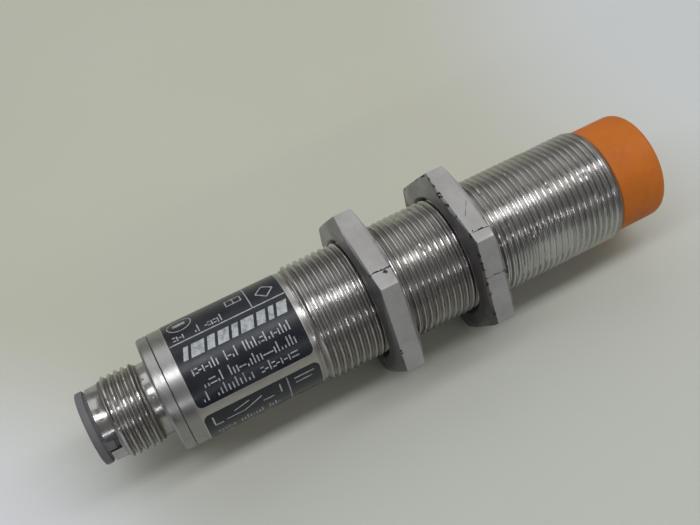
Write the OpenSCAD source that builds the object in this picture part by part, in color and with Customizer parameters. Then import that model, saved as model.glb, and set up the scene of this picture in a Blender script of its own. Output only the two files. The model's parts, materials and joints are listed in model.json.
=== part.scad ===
// M18 x 1 inductive proximity sensor, non-flush, with an M12 plug connector and two flat lock nuts.
// The axis runs along X. The sensing face is at x = 0 and looks along +X. The connector's tip is at
// the -X end. Z is up, and the sensor lies on one flat of each nut.

/* [Barrel] */
// Major diameter of the barrel thread
barrel_d = 18; // [16:1:22]
// Pitch of the barrel thread
barrel_pitch = 1; // [0.75:0.25:1.5]
// Length of the barrel thread
thread_len = 50; // [44:0.1:70]
// How far the smooth end of the barrel lies below the thread's major diameter
plain_step = 1; // [0.9:0.05:1.4]
// Bore of the barrel
bore_d = 15.2; // [13:0.1:15.6]
// Bare metal between the connector's collar and the label
bare_len = 2; // [1:0.1:6]
// Bare metal between the label and the thread
end_ring_len = 0.9; // [0.5:0.1:6]

/* [Sensing cap] */
// Length of the cap in front of the barrel
cap_len = 8; // [7.5:0.1:14]
// Outer diameter of the cap
cap_d = 16.9; // [16:0.1:16.9]
// Radius of the cap's front edge
cap_edge_r = 1.2; // [0.3:0.1:1.8]
// Thickness of the cap's side wall
cap_wall = 0.8; // [0.6:0.05:1.2]
// Thickness of the cap's face
cap_face = 0.7; // [0.4:0.05:1.2]
// Length of the cap's spigot inside the barrel
cap_spigot_len = 4; // [3:0.1:7]

/* [Connector] */
// Major diameter of the connector thread
plug_d = 12; // [12:0.5:14]
// Pitch of the connector thread
plug_pitch = 1; // [0.75:0.25:1.25]
// Length of the connector thread
plug_thread_len = 5.6; // [4:0.1:9]
// Length of the plastic rim at the connector's mouth
rim_len = 1.1; // [0.8:0.1:2]
// Gap between the plastic rim and the metal shell
rim_gap = 0.4; // [0.2:0.05:0.8]
// Length of the plain stretch in front of the connector thread
land_len = 1.8; // [1.2:0.1:4]
// Length of the neck behind the connector thread
neck_len = 1.5; // [1:0.1:4]
// Length of the collar that closes the barrel
collar_len = 1.7; // [1.2:0.1:4]
// Diameter of the bore through the connector shell
shell_bore_d = 9.6; // [9.2:0.1:10]
// Wall of the plastic skirt between the shell's bore and the mouth that takes the mating plug
mouth_wall = 0.5; // [0.3:0.05:0.8]
// Depth of the mouth
mouth_depth = 9; // [7:0.1:12]
// Length of the shell's spigot inside the barrel
shell_spigot_len = 5; // [4:0.1:8]
// Width of the locating slot at the front of the shell
slot_w = 2; // [1.2:0.1:3]
// Turn of the locating slot above the horizontal
slot_turn = 25; // [0:1:60]
// Diameter of a contact pin
pin_d = 1; // [0.8:0.05:1]
// Diameter of the circle that the contact pins stand on
pin_circle_d = 5; // [4.6:0.1:5.4]
// How far the pins' tips lie behind the rim
pin_recess = 2.2; // [1:0.1:4]

/* [Lock nuts] */
// Width of a nut across its flats
nut_af = 24; // [23:0.5:30]
// Thickness of a nut
nut_h = 4; // [3:0.1:6]
// Distance from the thread's rear end to the rear nut
rear_nut_at = 9; // [2:0.1:12]
// Free thread between the two nuts
nut_gap = 10.9; // [6:0.1:12]
// Radial clearance between a nut and the thread's crests
nut_clearance = 0.05; // [0.03:0.01:0.1]

/* [Label] */
// Length of the label along the barrel
label_len = 17.6; // [12:0.1:30]
// Thickness of the label film
label_t = 0.08; // [0.05:0.01:0.2]
// Gap where the label's two ends meet, under the sensor
label_gap = 1.2; // [0.5:0.1:4]

/* [Coil] */
// Diameter of the ferrite core
core_d = 13.8; // [12:0.1:14.4]
// Length of the ferrite core
core_len = 5; // [4:0.1:6]
// Diameter of the core's centre post
core_post_d = 5.4; // [4:0.1:6]
// Wall of the core's outer ring
core_wall = 1.3; // [1:0.1:1.6]
// Thickness of the core's base
core_base = 1.5; // [1.2:0.1:2]
// Wall of the coil bobbin
bobbin_wall = 0.4; // [0.3:0.05:0.5]
// Diameter of the two coil leads
lead_d = 0.4; // [0.2:0.05:0.6]

/* [Electronics] */
// Thickness of the circuit board
board_t = 0.8; // [0.6:0.1:1.6]
// Gap between the circuit board's long edges and the cap's spigot
board_edge_gap = 0.2; // [0.1:0.05:1]
// Wall of the insulating tube between electronics and barrel
tube_wall = 0.25; // [0.15:0.05:0.5]
// Free space between the connector's spigot and the board
board_gap = 4; // [3:0.1:8]

/* [Hidden] */
$fn = 96;

// Metric thread: depth of an external thread, and the flats at its crest and root, per pitch
thread_depth_k = 0.6134;
crest_flat_k = 0.125;
root_flat_k = 0.2;

// Places along the axis, from the sensing face back to the connector's tip
x_cap = -cap_len;
x_thread = x_cap - thread_len;
x_label_end = x_thread - end_ring_len;
x_label = x_label_end - label_len;
x_seam = x_label - bare_len;
x_collar = x_seam - collar_len;
x_neck = x_collar - neck_len;
x_plug_thread = x_neck - plug_thread_len;
x_land = x_plug_thread - land_len;
x_rim = x_land - rim_gap;
x_tip = x_rim - rim_len;
x_mouth_floor = x_tip + mouth_depth;
x_shell_end = x_seam + shell_spigot_len;
x_cap_spigot = x_cap - cap_spigot_len;
x_rear_nut = x_thread + rear_nut_at;
x_front_nut = x_rear_nut + nut_h + nut_gap;

// Radii of the shells, and small chamfers on their edges
plain_r = (barrel_d - plain_step) / 2;
bore_r = bore_d / 2;
edge = 0.15;
thread_end_r = plain_r - 0.4;
cap_spigot_r = bore_r - 0.03;
shell_spigot_r = bore_r - 0.02;
collar_r = plain_r - 0.05;
collar_edge_r = 0.45;
neck_fillet = 0.3;
neck_r = plug_d / 2 - thread_depth_k * plug_pitch;
land_r = neck_r - 0.03;
shell_bore_r = shell_bore_d / 2;
mouth_r = shell_bore_r - mouth_wall;

// Seal rings: cross-section, groove and places
seal_d = 1;
seal_squeeze = 0.1;
seal_groove_w = 1.3;
seal_r = bore_r - (seal_d - seal_squeeze) / 2;
seal_section_r = (seal_d - seal_squeeze) / 2 - 0.01;
seal_groove_r = seal_r - seal_section_r - 0.01;
x_shell_seal = x_seam + shell_spigot_len * 0.55;
x_cap_seal = x_cap - cap_spigot_len * 0.5;

// Contact carrier: rim, tongue in the shell's slot, floor and rear boss
rim_r = land_r + 0.02;
rim_edge = 0.25;
rim_groove = 0.45;
mouth_edge = 0.2;
slot_depth = land_r - shell_bore_r + 0.3;
slot_len = land_len - 0.1;
tongue_clearance = 0.05;
tongue_end_gap = 0.6;
tongue_r = land_r - 0.3;
carrier_floor = 3;
carrier_r = shell_bore_r - 0.02;
x_carrier_end = x_mouth_floor + carrier_floor;
key_w = 1;
key_h = 0.7;
key_recess = 0.8;

// Contact pins: tip, shank in the carrier's floor, shoulder and solder end
pin_r = pin_d / 2;
pin_shank_r = pin_r + 0.1;
pin_tip_len = 0.6;
pin_shoulder_r = pin_r + 0.25;
pin_shoulder_len = 1;
pin_tail_len = 2.2;
x_pin_tip = x_tip + pin_recess;
x_pin_end = x_carrier_end + pin_tail_len;
pin_turns = [135, 45, -45, -135];

// Coil: core behind the cap's face, bobbin in its groove, winding on the bobbin
coil_gap = 0.1;
x_core_front = -cap_face - coil_gap;
x_core = x_core_front - core_len;
core_r = core_d / 2;
groove_in_r = core_post_d / 2;
groove_out_r = core_r - core_wall;
x_groove = x_core + core_base;
bobbin_in_r = groove_in_r + coil_gap;
bobbin_out_r = groove_out_r - coil_gap;
bobbin_hub_r = bobbin_in_r + bobbin_wall;
core_edge = 0.2;
x_bobbin_front = x_core_front - coil_gap;
lead_r = lead_d / 2;
lead_hole_r = lead_r + 0.15;
lead_at = bobbin_hub_r + lead_hole_r + 0.2;
winding_r = bobbin_out_r - 0.15;

// Core carrier: fits in the cap behind the core, and grips the board
cap_in_r = cap_d / 2 - cap_wall;
cap_corner = 0.4;
cap_throat_len = 1;
cap_spigot_wall = 1.3;
spigot_in_r = bore_r - cap_spigot_wall;
carrier_len = 2.4;
core_pocket = 0.8;
core_carrier_r = min(cap_in_r, spigot_in_r) - 0.1;
carrier_flange_r = cap_in_r - 0.1;
x_core_carrier = x_core - carrier_len;
x_carrier_flange = max(x_cap + 0.4, x_core_carrier + 0.6);

// Electronics: tube, board, and parts on the board
tube_r = bore_r - 0.05;
tube_in_r = tube_r - tube_wall;
x_tube = x_shell_end + 0.2;
x_tube_end = x_cap_spigot - 0.2;
x_board = x_shell_end + board_gap;
x_board_end = x_core_carrier + 1.4;
board_half = spigot_in_r - board_edge_gap;
board_nose_half = lead_at + 0.6;
board_nose_gap = 0.3;
board_len = x_board_end - x_board;
board_fit = 0.02;
wire_r = 0.3;
joint_len = 1.4;
joint_edge = 0.25;
joint_inset = 0.8;

// Sizes of the parts on the board, the distance of its outer rows, and the step between places
part_space = board_len / 8;
row_y = 2.6;
control_chip_size = [8.6, 6, 1.5];
control_chip_leg = 1;
transistor_size = [4.5, 4, 1.5];
transistor_leg = 0.8;
leg_h = 0.5;
leg_width_k = 0.4;
diode_size = [4.3, 2.6, 2.1];
tantalum_size = [6, 3.2, 2.5];
ceramic_size = [2, 1.25, 1.1];
resistor_size = [2, 1.25, 0.6];
trim_size = [3.2, 2.5, 0.6];

// Potting fills the tube around the board
x_potting = x_shell_end + 0.3;
x_potting_end = x_cap_spigot - 0.3;

// Lock nuts: chamfer on both sides, and a countersink at each end of the bore
nut_bore_r = barrel_d / 2 + nut_clearance;
nut_chamfer = 15;
nut_land_k = 0.95;
nut_sink = 0.55;
nut_corner_r = nut_af / 2 / cos(30);

// How far a cutting body sticks out of what it cuts, and a rib goes into the wall that carries it
over = 1;
root = 0.2;

// Colours
metal = [0.72, 0.71, 0.68];
rubber = [0.12, 0.12, 0.12];
ferrite = [0.22, 0.21, 0.21];
bobbin_plastic = [0.85, 0.83, 0.76];
copper = [0.72, 0.36, 0.16];
holder_plastic = [0.20, 0.22, 0.24];
film = [0.80, 0.72, 0.50];
laminate = [0.10, 0.38, 0.22];
black_plastic = [0.14, 0.14, 0.15];
tantalum = [0.85, 0.66, 0.22];
ceramic = [0.71, 0.60, 0.48];
white_ceramic = [0.90, 0.90, 0.88];
wire_red = [0.62, 0.24, 0.20];
resin = [0.16, 0.16, 0.17];
nut_metal = [0.66, 0.66, 0.67];
orange = [0.86, 0.40, 0.10];
grey_plastic = [0.36, 0.35, 0.39];
ink = [0.11, 0.12, 0.15];
gold = [0.83, 0.67, 0.30];

// A body of revolution about the X axis, from its outline as [x, radius] points
module turned(outline) {
    rotate([0, 90, 0])
        rotate_extrude()
            polygon([for (p = outline) [p[1], p[0]]]);
}

// A straight round bar along X
module bar(x0, x1, r) {
    translate([x0, 0, 0])
        rotate([0, 90, 0])
            cylinder(h = x1 - x0, r = r);
}

// A ring of round section about the X axis
module ring(x, r, section_r) {
    translate([x, 0, 0])
        rotate([0, 90, 0])
            rotate_extrude()
                translate([r, 0])
                    circle(r = section_r, $fn = 32);
}

// A part on the board: a box on the top face, or on the bottom face when side is -1
module on_board(x, y, size, side = 1) {
    translate([x, y, side * (board_t / 2 + size[2] / 2)])
        cube(size, center = true);
}

// A turn of everything about the X axis
module turn(angle) {
    rotate([angle, 0, 0])
        children();
}

// Outline points of a thread between two places, as rings of the thread's profile.
// The crests near either end are cut by a chamfer that starts at end_r.
function crest_r(x, x0, x1, r, end_r) = min(r, end_r + x - x0, end_r + x1 - x);

function thread_outline(x0, x1, r, pitch, end_r) =
    let (
        depth = thread_depth_k * pitch,
        turns = floor((x1 - x0) / pitch + 0.001),
        spare = (x1 - x0 - turns * pitch) / 2
    )
    [
        for (i = [0 : turns - 1])
            let (
                mid = x0 + spare + (i + 0.5) * pitch,
                crest = crest_r(mid, x0, x1, r, end_r),
                crest_half = crest_flat_k * pitch / 2,
                root_half = (1 - root_flat_k) * pitch / 2
            )
            each [
                [mid - root_half, r - depth],
                [mid - crest_half, crest],
                [mid + crest_half, crest],
                [mid + root_half, r - depth]
            ]
    ];

// Points of a quarter-round edge about a centre, from one angle to another
function arc_points(cx, cr, radius, from, to, steps = 8) =
    [
        for (i = [0 : steps])
            let (a = from + (to - from) * i / steps)
            [cx + radius * cos(a), cr + radius * sin(a)]
    ];

module barrel() {
    root_r = barrel_d / 2 - thread_depth_k * barrel_pitch;
    color(metal)
        turned(concat(
            [
                [x_seam, bore_r],
                [x_seam, plain_r - edge],
                [x_seam + edge, plain_r],
                [x_thread - edge, plain_r],
                [x_thread, root_r]
            ],
            thread_outline(x_thread, x_cap, barrel_d / 2, barrel_pitch, thread_end_r),
            [
                [x_cap, root_r],
                [x_cap, bore_r]
            ]
        ));
}

module sensing_cap() {
    r = cap_d / 2;
    color(orange)
        turned(concat(
            [
                [x_cap_spigot, spigot_in_r],
                [x_cap_spigot, cap_spigot_r],
                [x_cap_seal - seal_groove_w / 2, cap_spigot_r],
                [x_cap_seal - seal_groove_w / 2, seal_groove_r],
                [x_cap_seal + seal_groove_w / 2, seal_groove_r],
                [x_cap_seal + seal_groove_w / 2, cap_spigot_r],
                [x_cap, cap_spigot_r],
                [x_cap, r - edge],
                [x_cap + edge, r]
            ],
            arc_points(-cap_edge_r, r - cap_edge_r, cap_edge_r, 90, 0),
            [
                [0, 0],
                [-cap_face, 0],
                [-cap_face, cap_in_r - cap_corner],
                [-cap_face - cap_corner, cap_in_r],
                [x_cap + cap_corner, cap_in_r],
                [x_cap + cap_corner - cap_throat_len, spigot_in_r]
            ]
        ));
}

module cap_seal_ring() {
    color(rubber)
        ring(x_cap_seal, seal_r, seal_section_r);
}

module ferrite_core() {
    color(ferrite)
        difference() {
            turned([
                [x_core, 0],
                [x_core, core_r - core_edge],
                [x_core + core_edge, core_r],
                [x_core_front - core_edge, core_r],
                [x_core_front, core_r - core_edge],
                [x_core_front, groove_out_r],
                [x_groove, groove_out_r],
                [x_groove, groove_in_r],
                [x_core_front, groove_in_r],
                [x_core_front, 0]
            ]);
            for (side = [-1, 1])
                translate([0, side * lead_at, 0])
                    bar(x_core - over, x_groove + over, lead_hole_r);
        }
}

module coil_bobbin() {
    color(bobbin_plastic)
        difference() {
            turned([
                [x_groove, bobbin_in_r],
                [x_groove, bobbin_out_r],
                [x_groove + bobbin_wall, bobbin_out_r],
                [x_groove + bobbin_wall, bobbin_hub_r],
                [x_bobbin_front - bobbin_wall, bobbin_hub_r],
                [x_bobbin_front - bobbin_wall, bobbin_out_r],
                [x_bobbin_front, bobbin_out_r],
                [x_bobbin_front, bobbin_in_r]
            ]);
            for (side = [-1, 1])
                translate([0, side * lead_at, 0])
                    bar(x_groove - over, x_groove + bobbin_wall + over, lead_hole_r);
        }
}

module coil_winding() {
    color(copper)
        turned([
            [x_groove + bobbin_wall, bobbin_hub_r],
            [x_groove + bobbin_wall, winding_r],
            [x_bobbin_front - bobbin_wall, winding_r],
            [x_bobbin_front - bobbin_wall, bobbin_hub_r]
        ]);
}

// Two wires from the winding, through the core's base, to the board's front edge
module coil_leads() {
    color(copper)
        for (side = [-1, 1])
            translate([0, side * lead_at, 0])
                bar(x_board_end, x_groove + bobbin_wall, lead_r);
}

// Plastic holder that centres the core in the cap and grips the nose of the board
module core_carrier() {
    nose_half = board_nose_half + board_fit;
    color(holder_plastic)
        difference() {
            turned([
                [x_core_carrier, 0],
                [x_core_carrier, core_carrier_r],
                [x_carrier_flange, core_carrier_r],
                [x_carrier_flange, carrier_flange_r],
                [x_core + core_pocket, carrier_flange_r],
                [x_core + core_pocket, core_r + board_fit],
                [x_core, core_r + board_fit],
                [x_core, 0]
            ]);
            translate([x_core_carrier - over, -nose_half, -board_t / 2 - board_fit])
                cube([x_board_end - x_core_carrier + over, 2 * nose_half, board_t + 2 * board_fit]);
            for (side = [-1, 1])
                translate([0, side * lead_at, 0])
                    bar(x_core_carrier, x_core + over, lead_hole_r);
        }
}

module insulating_tube() {
    color(film)
        turned([
            [x_tube, tube_in_r],
            [x_tube, tube_r],
            [x_tube_end, tube_r],
            [x_tube_end, tube_in_r]
        ]);
}

module circuit_board() {
    color(laminate) {
        translate([x_board, -board_half, -board_t / 2])
            cube([x_core_carrier - board_nose_gap - x_board, 2 * board_half, board_t]);
        translate([x_board, -board_nose_half, -board_t / 2])
            cube([board_len, 2 * board_nose_half, board_t]);
    }
}

// A chip body with rows of legs along both of its long sides
module chip(x, size, legs, leg_len) {
    body = [size[0], size[1] - 2 * leg_len, size[2]];
    on_board(x, 0, body);
    for (i = [0 : legs - 1])
        for (side = [-1, 1])
            on_board(
                x + (i - (legs - 1) / 2) * size[0] / legs,
                side * (size[1] / 2 - leg_len / 2),
                [size[0] / legs * leg_width_k, leg_len, leg_h]
            );
}

module control_chip() {
    color(black_plastic)
        chip(x_board + 4.6 * part_space, control_chip_size, 7, control_chip_leg);
}

module output_transistor() {
    color(black_plastic)
        chip(x_board + 2.1 * part_space, transistor_size, 3, transistor_leg);
}

module protection_diode() {
    color(black_plastic)
        on_board(x_board + 0.9 * part_space, 0, diode_size);
}

module supply_capacitor() {
    color(tantalum)
        on_board(x_board + 1.4 * part_space, 0, tantalum_size, -1);
}

module ceramic_capacitors() {
    color(ceramic)
        for (i = [0 : 3])
            on_board(x_board + (3 + i) * part_space, row_y, ceramic_size, -1);
}

module resistors() {
    color(black_plastic)
        for (i = [0 : 4])
            on_board(x_board + (2.6 + i) * part_space, -row_y, resistor_size, -1);
}

module trim_resistor() {
    color(white_ceramic)
        on_board(x_board + 6.6 * part_space, 0, trim_size);
}

// One straight wire from the solder end of a pin to its soldered terminal on the board
module hook_up_wire(y, z) {
    x_joint = x_board + joint_inset;
    joint_h = abs(z) + wire_r + joint_edge - board_t / 2;
    translate([0, y, z])
        bar(x_pin_end, x_joint, wire_r);
    on_board(x_joint, y, [joint_len, 2 * (wire_r + joint_edge), joint_h], sign(z));
}

module hook_up_wires() {
    at = pin_circle_d / 2 * cos(45);
    color(wire_red)
        for (y = [-at, at])
            for (z = [-at, at])
                hook_up_wire(y, z);
}

// Resin in the tube, around everything that the tube holds
module potting_compound() {
    color(resin)
        difference() {
            bar(x_potting, x_potting_end, tube_in_r);
            circuit_board();
            control_chip();
            output_transistor();
            protection_diode();
            supply_capacitor();
            ceramic_capacitors();
            resistors();
            trim_resistor();
            hook_up_wires();
        }
}

module connector_shell() {
    color(metal)
        difference() {
            turned(concat(
                [
                    [x_land, shell_bore_r],
                    [x_land, land_r - edge],
                    [x_land + edge, land_r],
                    [x_plug_thread, land_r]
                ],
                thread_outline(x_plug_thread, x_neck, plug_d / 2, plug_pitch, land_r + edge),
                [[x_neck, neck_r]],
                arc_points(x_collar - neck_fillet, neck_r + neck_fillet, neck_fillet, -90, 0, 4),
                arc_points(x_collar + collar_edge_r, collar_r - collar_edge_r, collar_edge_r, 180, 90),
                [
                    [x_seam, collar_r],
                    [x_seam, shell_spigot_r],
                    [x_shell_seal - seal_groove_w / 2, shell_spigot_r],
                    [x_shell_seal - seal_groove_w / 2, seal_groove_r],
                    [x_shell_seal + seal_groove_w / 2, seal_groove_r],
                    [x_shell_seal + seal_groove_w / 2, shell_spigot_r],
                    [x_shell_end, shell_spigot_r],
                    [x_shell_end, shell_bore_r]
                ]
            ));
            turn(-slot_turn)
                translate([x_land - over, -land_r - over, -slot_w / 2])
                    cube([slot_len + over, slot_depth + over, slot_w]);
        }
}

module shell_seal_ring() {
    color(rubber)
        ring(x_shell_seal, seal_r, seal_section_r);
}

// Plastic insert: the rim at the mouth, the skirt in the shell's bore, the floor that holds the
// pins, the key inside the mouth, and the tongue that stands in the shell's slot
module contact_carrier() {
    tongue_w = slot_w - 2 * tongue_clearance;
    tongue_len = root + rim_gap + slot_len - tongue_end_gap;
    color(grey_plastic)
        difference() {
            union() {
                turned([
                    [x_tip, mouth_r + mouth_edge],
                    [x_tip, rim_r - rim_edge],
                    [x_tip + rim_edge, rim_r],
                    [x_rim, rim_r],
                    [x_rim, rim_r - rim_groove],
                    [x_land, rim_r - rim_groove],
                    [x_land, carrier_r],
                    [x_carrier_end, carrier_r],
                    [x_carrier_end, 0],
                    [x_mouth_floor, 0],
                    [x_mouth_floor, mouth_r],
                    [x_tip + mouth_edge, mouth_r]
                ]);
                turn(-slot_turn)
                    translate([x_rim - root, -tongue_r, -tongue_w / 2])
                        cube([tongue_len, tongue_r - mouth_r - root / 2, tongue_w]);
                translate([x_tip + key_recess, -key_w / 2, mouth_r - key_h])
                    cube([mouth_depth - key_recess + root, key_w, key_h + root]);
            }
            for (i = [0 : 3])
                pin_place(i)
                    bar(x_mouth_floor - over, x_carrier_end + over, pin_shank_r);
        }
}

// Puts its children on one of the four pin axes
module pin_place(i) {
    turn(pin_turns[i])
        translate([0, 0, pin_circle_d / 2])
            children();
}

module contact_pin(i) {
    color(gold)
        pin_place(i)
            turned([
                [x_pin_tip, 0],
                [x_pin_tip, pin_r * 0.4],
                [x_pin_tip + pin_tip_len, pin_r],
                [x_mouth_floor, pin_r],
                [x_mouth_floor, pin_shank_r],
                [x_carrier_end, pin_shank_r],
                [x_carrier_end, pin_shoulder_r],
                [x_carrier_end + pin_shoulder_len, pin_shoulder_r],
                [x_carrier_end + pin_shoulder_len, pin_r * 0.7],
                [x_pin_end, pin_r * 0.7],
                [x_pin_end, 0]
            ]);
}

// Printed film round the smooth end of the barrel, open along a line underneath
module rating_label() {
    color(ink)
        difference() {
            turned([
                [x_label, plain_r],
                [x_label, plain_r + label_t],
                [x_label_end, plain_r + label_t],
                [x_label_end, plain_r]
            ]);
            translate([x_label - over, -label_gap / 2, -plain_r - over])
                cube([label_len + 2 * over, label_gap, 2 * over]);
        }
}

// Flat hexagon nut with one of its flats underneath
module lock_nut(x0) {
    r_face = nut_land_k * nut_af / 2;
    fall = (nut_corner_r - r_face) * tan(nut_chamfer);
    color(nut_metal)
        difference() {
            intersection() {
                translate([x0, 0, 0])
                    rotate([30, 0, 0])
                        rotate([0, 90, 0])
                            cylinder(h = nut_h, r = nut_corner_r, $fn = 6);
                turned([
                    [x0, 0],
                    [x0, r_face],
                    [x0 + fall, nut_corner_r],
                    [x0 + fall, nut_corner_r + over],
                    [x0 + nut_h - fall, nut_corner_r + over],
                    [x0 + nut_h - fall, nut_corner_r],
                    [x0 + nut_h, r_face],
                    [x0 + nut_h, 0]
                ]);
            }
            turned([
                [x0 - 0.01, 0],
                [x0 - 0.01, nut_bore_r + nut_sink + 0.01],
                [x0 + nut_sink, nut_bore_r],
                [x0 + nut_h - nut_sink, nut_bore_r],
                [x0 + nut_h + 0.01, nut_bore_r + nut_sink + 0.01],
                [x0 + nut_h + 0.01, 0]
            ]);
        }
}

module rear_lock_nut() {
    lock_nut(x_rear_nut);
}

module front_lock_nut() {
    lock_nut(x_front_nut);
}

barrel();
sensing_cap();
cap_seal_ring();
ferrite_core();
coil_bobbin();
coil_winding();
coil_leads();
core_carrier();
insulating_tube();
circuit_board();
control_chip();
output_transistor();
protection_diode();
supply_capacitor();
ceramic_capacitors();
resistors();
trim_resistor();
hook_up_wires();
potting_compound();
connector_shell();
shell_seal_ring();
contact_carrier();
contact_pin(0);  // contact_pin_1
contact_pin(1);  // contact_pin_2
contact_pin(2);  // contact_pin_3
contact_pin(3);  // contact_pin_4
rating_label();
rear_lock_nut();
front_lock_nut();
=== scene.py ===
"""Looks of an inductive proximity sensor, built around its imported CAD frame.

Lengths are in millimetres in the outlines below, and become metres when a mesh is made.
The sensor's axis is the X axis: the sensing face is at x = 0 and the connector's tip at the -X end.
An angle round the axis starts at the front (-Y) and rises towards the top (+Z).
"""

import json
import math
import random

import bmesh
import bpy
from mathutils import Matrix, Vector, noise


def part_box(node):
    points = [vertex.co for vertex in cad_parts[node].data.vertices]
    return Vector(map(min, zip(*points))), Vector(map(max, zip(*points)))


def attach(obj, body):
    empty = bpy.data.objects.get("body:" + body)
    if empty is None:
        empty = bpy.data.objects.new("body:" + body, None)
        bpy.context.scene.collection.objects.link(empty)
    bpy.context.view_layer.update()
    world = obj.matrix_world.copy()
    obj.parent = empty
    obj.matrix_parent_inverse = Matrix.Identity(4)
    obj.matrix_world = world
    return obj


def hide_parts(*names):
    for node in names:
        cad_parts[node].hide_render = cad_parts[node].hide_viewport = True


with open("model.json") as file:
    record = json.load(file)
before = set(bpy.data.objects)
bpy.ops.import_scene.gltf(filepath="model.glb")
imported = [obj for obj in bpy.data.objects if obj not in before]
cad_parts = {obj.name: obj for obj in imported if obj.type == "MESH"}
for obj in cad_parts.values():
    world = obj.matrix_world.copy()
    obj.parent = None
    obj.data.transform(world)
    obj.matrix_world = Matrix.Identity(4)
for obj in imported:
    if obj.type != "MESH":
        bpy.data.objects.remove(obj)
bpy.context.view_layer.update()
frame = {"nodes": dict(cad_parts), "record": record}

MM = 0.001


def box_mm(node):
    """The lowest and highest corners of a CAD node, in millimetres."""
    low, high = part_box(node)
    return low / MM, high / MM


# ---------------------------------------------------------------- sizes, from the frame

barrel_low, barrel_high = box_mm("barrel")
X_SEAM, X_CAP = barrel_low.x, barrel_high.x
BARREL_R = barrel_high.z

label_low, label_high = box_mm("rating_label")
X_LABEL, X_LABEL_END = label_low.x, label_high.x
LABEL_R = label_high.z
LABEL_T = 0.08
PLAIN_R = LABEL_R - LABEL_T
X_THREAD = X_LABEL_END + 0.9

cap_high = box_mm("sensing_cap")[1]
X_FACE, CAP_R = cap_high.x, cap_high.z
CAP_IN_R = 7.6
CAP_SPIGOT_IN_R = 6.3
CAP_SPIGOT_LEN = 4

shell_low, shell_high = box_mm("connector_shell")
X_LAND, X_SHELL_END = shell_low.x, shell_high.x
COLLAR_R = shell_high.y
X_COLLAR = X_SEAM - 1.7
X_NECK = X_COLLAR - 1.5
X_PLUG_THREAD = X_NECK - 5.6
PLUG_R = 6.0
SHELL_BORE_R = 4.8

insert_low, insert_high = box_mm("contact_carrier")
X_TIP, X_INSERT_END = insert_low.x, insert_high.x
RIM_R = insert_high.y
X_RIM = X_LAND - 0.4
MOUTH_R = 4.3
MOUTH_DEPTH = 9.0
SLOT_TURN = 25
SLOT_W = 2.0
SLOT_LEN = 1.7
TONGUE_END_GAP = 0.6

# Both threads have a pitch of 1 mm. A turned shape has this many steps round the axis
PITCH = 1.0
THREAD_DEPTH = 0.6134
BORE_R = 7.6
AROUND = 160

# Middle of the patch near the cap where the thread is worn flat and bright: place and turn
WORN_X, WORN_TURN = -23.5, 24.0

# Point under the middle of the sensor that the table and the lights are placed round, in metres
MIDDLE = Vector((-0.045, 0, 0))


# ---------------------------------------------------------------- mesh helpers

def on_axis(x, r, turn):
    """The point at radius r and an angle in degrees round the axis, in metres."""
    angle = math.radians(turn)
    return Vector((x, -r * math.cos(angle), r * math.sin(angle))) * MM


def make_piece(name, points, faces, body, material, replaces=(), sharp=35):
    """A closed mesh piece that rides on a body, with its doubled points merged."""
    mesh = bpy.data.meshes.new(name)
    mesh.from_pydata([tuple(p) for p in points], [], faces)
    work = bmesh.new()
    work.from_mesh(mesh)
    bmesh.ops.remove_doubles(work, verts=work.verts, dist=2e-7)
    bmesh.ops.dissolve_degenerate(work, edges=work.edges, dist=2e-7)
    bmesh.ops.recalc_face_normals(work, faces=work.faces)
    work.to_mesh(mesh)
    work.free()
    mesh.polygons.foreach_set("use_smooth", [True] * len(mesh.polygons))
    mesh.set_sharp_from_angle(angle=math.radians(sharp))
    piece = bpy.data.objects.new(name, mesh)
    bpy.context.scene.collection.objects.link(piece)
    piece.data.materials.append(material)
    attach(piece, body)
    if replaces:
        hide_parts(*replaces)
    return piece


def filleted(corners, steps=5):
    """An open outline with each corner (x, r, fillet) rounded to its fillet radius."""
    points = []
    for i, (x, r, fillet) in enumerate(corners):
        here = Vector((x, r))
        if fillet == 0 or i in (0, len(corners) - 1):
            points.append((x, r))
            continue
        before = Vector(corners[i - 1][:2]) - here
        after = Vector(corners[i + 1][:2]) - here
        half = before.angle(after) / 2
        reach = min(fillet / math.tan(half), before.length * 0.49, after.length * 0.49)
        start = here + before.normalized() * reach
        end = here + after.normalized() * reach
        for k in range(steps + 1):
            t = k / steps
            p = start.lerp(here, t).lerp(here.lerp(end, t), t)
            points.append((p.x, p.y))
    return points


def grid_faces(columns, rows, closed_rows=True):
    """Quads between neighbouring columns of equally many points."""
    faces = []
    for i in range(columns - 1):
        for j in range(rows if closed_rows else rows - 1):
            a, b = i * rows + j, i * rows + (j + 1) % rows
            faces.append((a, b, b + rows, a + rows))
    return faces


def lathe(columns_of, around=AROUND):
    """Points and faces of a turned shape, whose closed outline may change with the turn."""
    points, rows = [], 0
    for i in range(around + 1):
        outline = columns_of(i / around)
        rows = len(outline)
        points += [on_axis(x, r, 360 * i / around) for x, r in outline]
    return points, grid_faces(around + 1, rows)


def turned(outline, around=AROUND):
    """Points and faces of a shape that is the same at every turn."""
    return lathe(lambda t: outline, around)


# One turn of the thread: how far along the pitch, and how far up from the root to the crest
THREAD_PROFILE = (
    (0.0, 0.26), (0.07, 0.28), (0.13, 0.35), (0.24, 0.58), (0.33, 0.84), (0.38, 0.94),
    (0.44, 1.0), (0.56, 1.0), (0.62, 0.94), (0.67, 0.84), (0.76, 0.58), (0.87, 0.35), (0.93, 0.28),
)


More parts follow.
